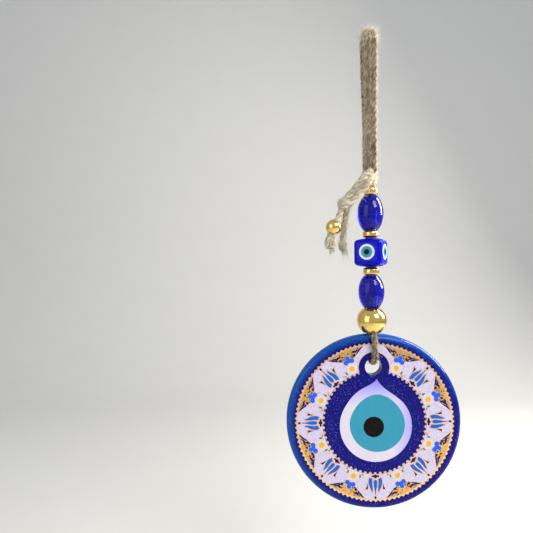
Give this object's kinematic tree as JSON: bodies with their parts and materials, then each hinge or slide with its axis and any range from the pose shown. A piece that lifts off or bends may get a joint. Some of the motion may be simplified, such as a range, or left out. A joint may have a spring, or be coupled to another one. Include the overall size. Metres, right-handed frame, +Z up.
{
  "type": "evil eye ornament",
  "caption": "Hanging evil eye ornament: a round glass eye disc with a floral border, strung on twine under glass and gilt beads, with a loop for a hook.",
  "frame": {"origin": "middle of the hook that the loop hangs on", "axes": "+Z up, the printed face of the disc looks along -Y, +X to the right of the printed face"},
  "size_m": [0.07, 0.0144, 0.1925],
  "materials": {
    "jute": "fibrous twisted twine",
    "gilt_beads": "mirror polished gilt",
    "cobalt_glass": "polished, with fine bubbles",
    "white_glass": "polished opaque",
    "turquoise_glass": "polished opaque",
    "black_glass": "polished opaque",
    "print_white": "fired-on enamel",
    "print_gold": "fired-on gilding",
    "print_blue": "fired-on enamel",
    "print_dark_blue": "fired-on enamel",
    "print_pale_blue": "fired-on enamel",
    "print_yellow": "fired-on enamel",
    "print_green": "fired-on enamel"
  },
  "bodies": {
    "hanging_loop": {"loop_cord_left": "jute", "loop_cord_right": "jute"},
    "knot": {"main_knot": "jute"},
    "bead_string": {"string_cord": "jute"},
    "top_spacer": {"top_spacer": "gilt_beads"},
    "upper_oval": {"upper_oval_bead": "cobalt_glass"},
    "upper_spacer": {"upper_spacer": "gilt_beads"},
    "cube": {"cube_bead": "cobalt_glass", "cube_eye_whites": "white_glass", "cube_eye_irises": "turquoise_glass", "cube_eye_pupils": "black_glass"},
    "lower_spacer": {"lower_spacer": "gilt_beads"},
    "lower_oval": {"lower_oval_bead": "cobalt_glass"},
    "gilt_ball": {"gilt_ball": "gilt_beads"},
    "swivel": {"swivel_cord": "jute"},
    "disc_sling": {"disc_cord": "jute"},
    "disc": {"glass_disc": "cobalt_glass", "eye_white": "white_glass", "eye_iris": "turquoise_glass", "eye_pupil": "black_glass", "print_white_ground": "print_white", "daisy_petals": "print_white", "gilt_fans": "print_gold", "gilt_outer_teeth": "print_gold", "gilt_inner_points": "print_gold", "gilt_hole_rim": "print_gold", "gilt_tulip_lines": "print_gold", "gilt_flower_lines": "print_gold", "gilt_dots": "print_gold", "tulip_petals": "print_blue", "blue_trefoils": "print_blue", "tulip_crowns": "print_dark_blue", "tulip_buds": "print_dark_blue", "tulip_blades": "print_dark_blue", "fan_scrolls": "print_dark_blue", "edge_chevrons": "print_dark_blue", "fan_crescents": "print_pale_blue", "daisy_middles": "print_yellow", "green_leaves": "print_green"},
    "tail": {"tail_cord_left_upper": "jute", "tail_cord_right_upper": "jute", "tail_knot": "jute"},
    "tail_left_end": {"tail_cord_left_lower": "jute", "tail_end_knot_left": "jute"},
    "tail_bead": {"tail_ball": "gilt_beads"},
    "tail_right_end": {"tail_cord_right_lower": "jute", "tail_end_knot_right": "jute"}
  },
  "joints": [
    {"name": "side_swing", "type": "hinge", "parent": "hanging_loop", "child": "knot", "pos_m": [0, 0, -0.0509], "axis": [0, 1, 0], "range_deg": [-20, 20]},
    {"name": "neck_bend", "type": "hinge", "parent": "knot", "child": "bead_string", "pos_m": [0, 0, -0.0581], "axis": [1, 0, 0], "range_deg": [-20, 20]},
    {"name": "top_spacer_spin", "type": "hinge", "parent": "bead_string", "child": "top_spacer", "pos_m": [0, 0, -0.06005], "axis": [0, 0, 1], "continuous": true},
    {"name": "upper_oval_spin", "type": "hinge", "parent": "bead_string", "child": "upper_oval", "pos_m": [0, 0, -0.0688], "axis": [0, 0, 1], "continuous": true},
    {"name": "upper_spacer_spin", "type": "hinge", "parent": "bead_string", "child": "upper_spacer", "pos_m": [0, 0, -0.0773], "axis": [0, 0, 1], "continuous": true},
    {"name": "cube_spin", "type": "hinge", "parent": "bead_string", "child": "cube", "pos_m": [0, 0, -0.0847], "axis": [0, 0, 1], "continuous": true},
    {"name": "lower_spacer_spin", "type": "hinge", "parent": "bead_string", "child": "lower_spacer", "pos_m": [0, 0, -0.09225], "axis": [0, 0, 1], "continuous": true},
    {"name": "lower_oval_spin", "type": "hinge", "parent": "bead_string", "child": "lower_oval", "pos_m": [0, 0, -0.10055], "axis": [0, 0, 1], "continuous": true},
    {"name": "gilt_ball_spin", "type": "hinge", "parent": "bead_string", "child": "gilt_ball", "pos_m": [0, 0, -0.1121], "axis": [0, 0, 1], "continuous": true},
    {"name": "disc_twist", "type": "hinge", "parent": "bead_string", "child": "swivel", "pos_m": [0, 0, -0.111], "axis": [0, 0, 1], "range_deg": [-180, 180]},
    {"name": "disc_rock", "type": "hinge", "parent": "swivel", "child": "disc_sling", "pos_m": [0, 0, -0.12005], "axis": [1, 0, 0], "range_deg": [-30, 30]},
    {"name": "disc_turn", "type": "hinge", "parent": "disc_sling", "child": "disc", "pos_m": [0, 0, -0.1285], "axis": [0, 1, 0], "range_deg": [-9, 9]},
    {"name": "tail_swing", "type": "hinge", "parent": "knot", "child": "tail", "pos_m": [-0.0018, -0.005, -0.0548], "axis": [0, 1, 0], "range_deg": [-1.5, 25], "stiffness_Nm_per_rad": 0.004},
    {"name": "tail_left_swing", "type": "hinge", "parent": "tail", "child": "tail_left_end", "pos_m": [-0.0124, -0.0043, -0.0678], "axis": [0, 1, 0], "range_deg": [-3, 20], "stiffness_Nm_per_rad": 0.001},
    {"name": "tail_bead_spin", "type": "hinge", "parent": "tail_left_end", "child": "tail_bead", "pos_m": [-0.0156, -0.0043, -0.0746], "axis": [0.4258, 0, 0.9048], "continuous": true},
    {"name": "tail_right_swing", "type": "hinge", "parent": "tail", "child": "tail_right_end", "pos_m": [-0.01, -0.0022, -0.0678], "axis": [0, 1, 0], "range_deg": [-3, 12], "stiffness_Nm_per_rad": 0.001}
  ]
}
